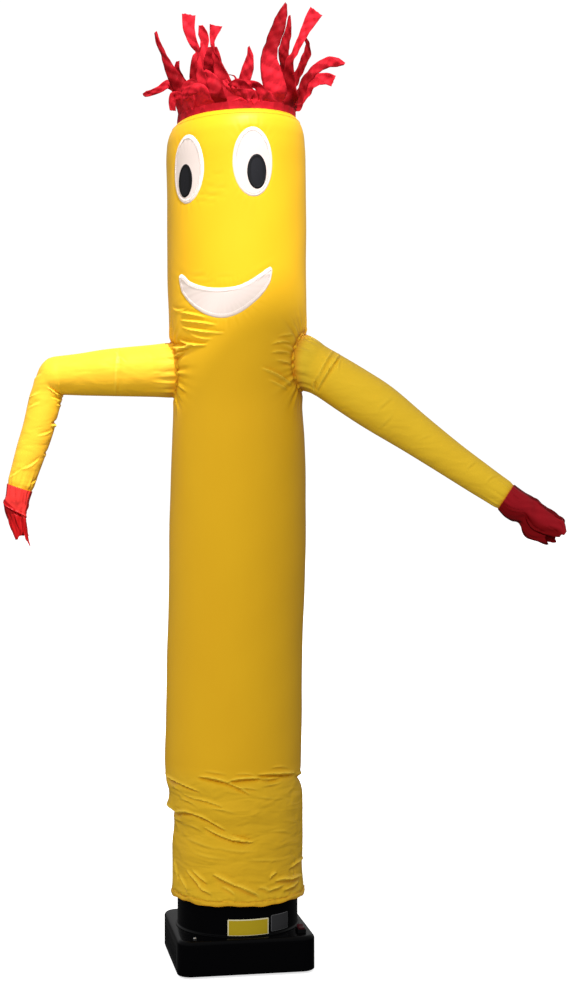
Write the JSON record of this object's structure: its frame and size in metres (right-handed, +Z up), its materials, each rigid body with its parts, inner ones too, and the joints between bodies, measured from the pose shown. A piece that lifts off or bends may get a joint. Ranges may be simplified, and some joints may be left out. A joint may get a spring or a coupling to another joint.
{
  "type": "inflatable air dancer on blower",
  "caption": "Inflated tube figure with a smiling cloth face, sleeve arms, cut cloth hands and streamer hair, standing over the outlet of a low square blower.",
  "frame": {"origin": "on the floor under the middle of the blower; the round panel under the blower's housing lies 3.8 mm above it", "axes": "+Z up, the face looks along -Y (turned 3 degrees towards -X), the arms reach along -X and +X"},
  "size_m": [1.0664, 0.3204, 1.8186],
  "materials": {
    "yellow_nylon": "light satin nylon",
    "red_nylon": "light satin nylon",
    "white_cloth": "matt cloth",
    "black_cloth": "matt cloth",
    "black_plastic": "moulded plastic with a soft gloss",
    "red_plastic": "smooth translucent-looking plastic",
    "yellow_label": "satin film",
    "grey_label": "satin film",
    "steel": "plated",
    "black_rubber": "matt rubber"
  },
  "bodies": {
    "dancer": {"tube": "yellow_nylon", "arm_left": "yellow_nylon", "arm_right": "yellow_nylon", "hand_left": "red_nylon", "hand_right": "red_nylon", "hair": "red_nylon", "eye_white_left": "white_cloth", "eye_white_right": "white_cloth", "mouth": "white_cloth", "pupil_left": "black_cloth", "pupil_right": "black_cloth", "blower_housing": "black_plastic", "outlet_collar": "black_plastic", "switch_bezel": "black_plastic", "collar_label_yellow": "yellow_label", "collar_label_grey": "grey_label", "deck_screw": "steel", "foot_1": "black_rubber", "foot_2": "black_rubber", "foot_3": "black_rubber", "foot_4": "black_rubber"},
    "rocker": {"switch_rocker": "red_plastic"}
  },
  "joints": [
    {"name": "rocker_tip", "type": "hinge", "parent": "dancer", "child": "rocker", "pos_m": [0.13161, -0.04489, 0.075], "axis": [0.9304, 0.3665, 0], "range_deg": [-12, 0]}
  ]
}
